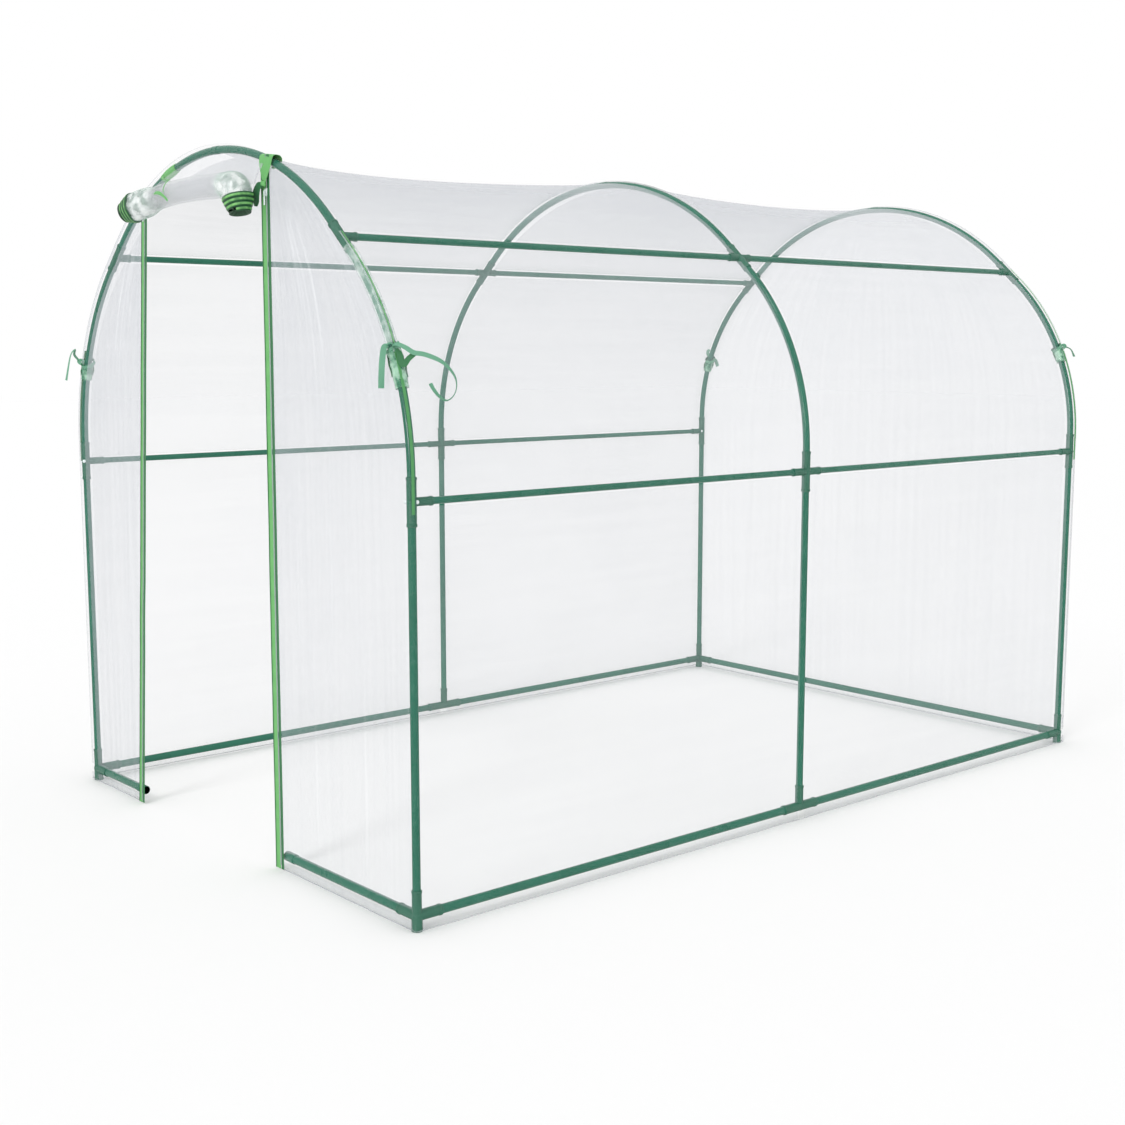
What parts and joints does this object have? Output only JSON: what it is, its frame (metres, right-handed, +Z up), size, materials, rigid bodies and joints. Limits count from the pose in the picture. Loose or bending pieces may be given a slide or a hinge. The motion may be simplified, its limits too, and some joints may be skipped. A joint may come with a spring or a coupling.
{
  "type": "walk-in film greenhouse",
  "caption": "Walk-in tunnel greenhouse: push-fit tube arches and rails, a fitted clear film cover, and a front door panel rolled up under the arch between two zips.",
  "frame": {"origin": "on the ground under the middle of the bounding box", "axes": "+Z up; +Y from the door end to the back end, along the tunnel; +X across it, to the right of somebody who looks in through the door"},
  "size_m": [1.9124, 3.1126, 2.0452],
  "materials": {
    "tube": "satin powder coat",
    "connector": "moulded satin",
    "film": "clear film, soft sheen",
    "strap": "woven webbing",
    "zip": "polished"
  },
  "bodies": {
    "frame_and_cover": {"base_corner_back_left": "connector", "base_corner_back_right": "connector", "base_corner_front_left": "connector", "base_corner_front_right": "connector", "base_rail_back": "tube", "base_rail_back_left": "tube", "base_rail_back_right": "tube", "base_rail_front_left": "tube", "base_rail_front_right": "tube", "base_stub_left": "tube", "base_stub_right": "tube", "base_tee_left": "connector", "base_tee_right": "connector", "cover_back": "film", "cover_front_left": "film", "cover_front_right": "film", "cover_hood": "film", "crown_tube_back": "tube", "crown_tube_front": "tube", "crown_tube_middle": "tube", "door_strap_left": "strap", "door_strap_right": "strap", "leg_back_left": "tube", "leg_back_right": "tube", "leg_front_left": "tube", "leg_front_right": "tube", "leg_middle_left": "tube", "leg_middle_right": "tube", "purlin_back_left": "tube", "purlin_back_right": "tube", "purlin_front_left": "tube", "purlin_front_right": "tube", "purlin_joint_back_left": "connector", "purlin_joint_back_right": "connector", "purlin_joint_front_left": "connector", "purlin_joint_front_right": "connector", "purlin_joint_middle_left": "connector", "purlin_joint_middle_right": "connector", "shoulder_tube_back_left": "tube", "shoulder_tube_back_right": "tube", "shoulder_tube_front_left": "tube", "shoulder_tube_front_right": "tube", "shoulder_tube_middle_left": "tube", "shoulder_tube_middle_right": "tube", "waist_joint_back_left": "connector", "waist_joint_back_right": "connector", "waist_joint_front_left": "connector", "waist_joint_front_right": "connector", "waist_joint_middle_left": "connector", "waist_joint_middle_right": "connector", "waist_rail_back_left": "tube", "waist_rail_back_right": "tube", "waist_rail_front_left": "tube", "waist_rail_front_right": "tube"},
    "door_carrier": {"door_film": "film"},
    "door_roll": {"door_roll": "film"},
    "zip_slider_left": {"zip_slider_left": "zip"},
    "zip_slider_right": {"zip_slider_right": "zip"},
    "zip_tab_left": {"zip_tab_left": "zip"},
    "zip_tab_right": {"zip_tab_right": "zip"}
  },
  "joints": [
    {"name": "door_drop", "type": "slide", "parent": "frame_and_cover", "child": "door_carrier", "axis": [-0.0471, 0, -0.9989], "range_m": [0, 1.75], "deforming": ["door_film", "door_strap_left", "door_strap_right"]},
    {"name": "door_unroll", "type": "hinge", "parent": "door_carrier", "child": "door_roll", "pos_m": [-0.0235, -1.50485, 1.905], "axis": [1, 0, 0], "range_deg": [-1, 1801]},
    {"name": "zip_left_run", "type": "slide", "parent": "frame_and_cover", "child": "zip_slider_left", "axis": [-0.0877, 0, -0.9961], "range_m": [0, 1.8]},
    {"name": "zip_right_run", "type": "slide", "parent": "frame_and_cover", "child": "zip_slider_right", "axis": [-0.0062, 0, -1], "range_m": [0, 1.8]},
    {"name": "tab_left_swing", "type": "hinge", "parent": "zip_slider_left", "child": "zip_tab_left", "pos_m": [-0.40852, -1.44395, 1.89], "axis": [-1, 0, 0], "range_deg": [-6, 150]},
    {"name": "tab_right_swing", "type": "hinge", "parent": "zip_slider_right", "child": "zip_tab_right", "pos_m": [0.31175, -1.44395, 1.89], "axis": [-1, 0, 0], "range_deg": [-6, 150]}
  ],
  "couplings": [
    {"joint": "door_unroll", "follows": "door_drop", "rad_per_m": 17.952}
  ]
}
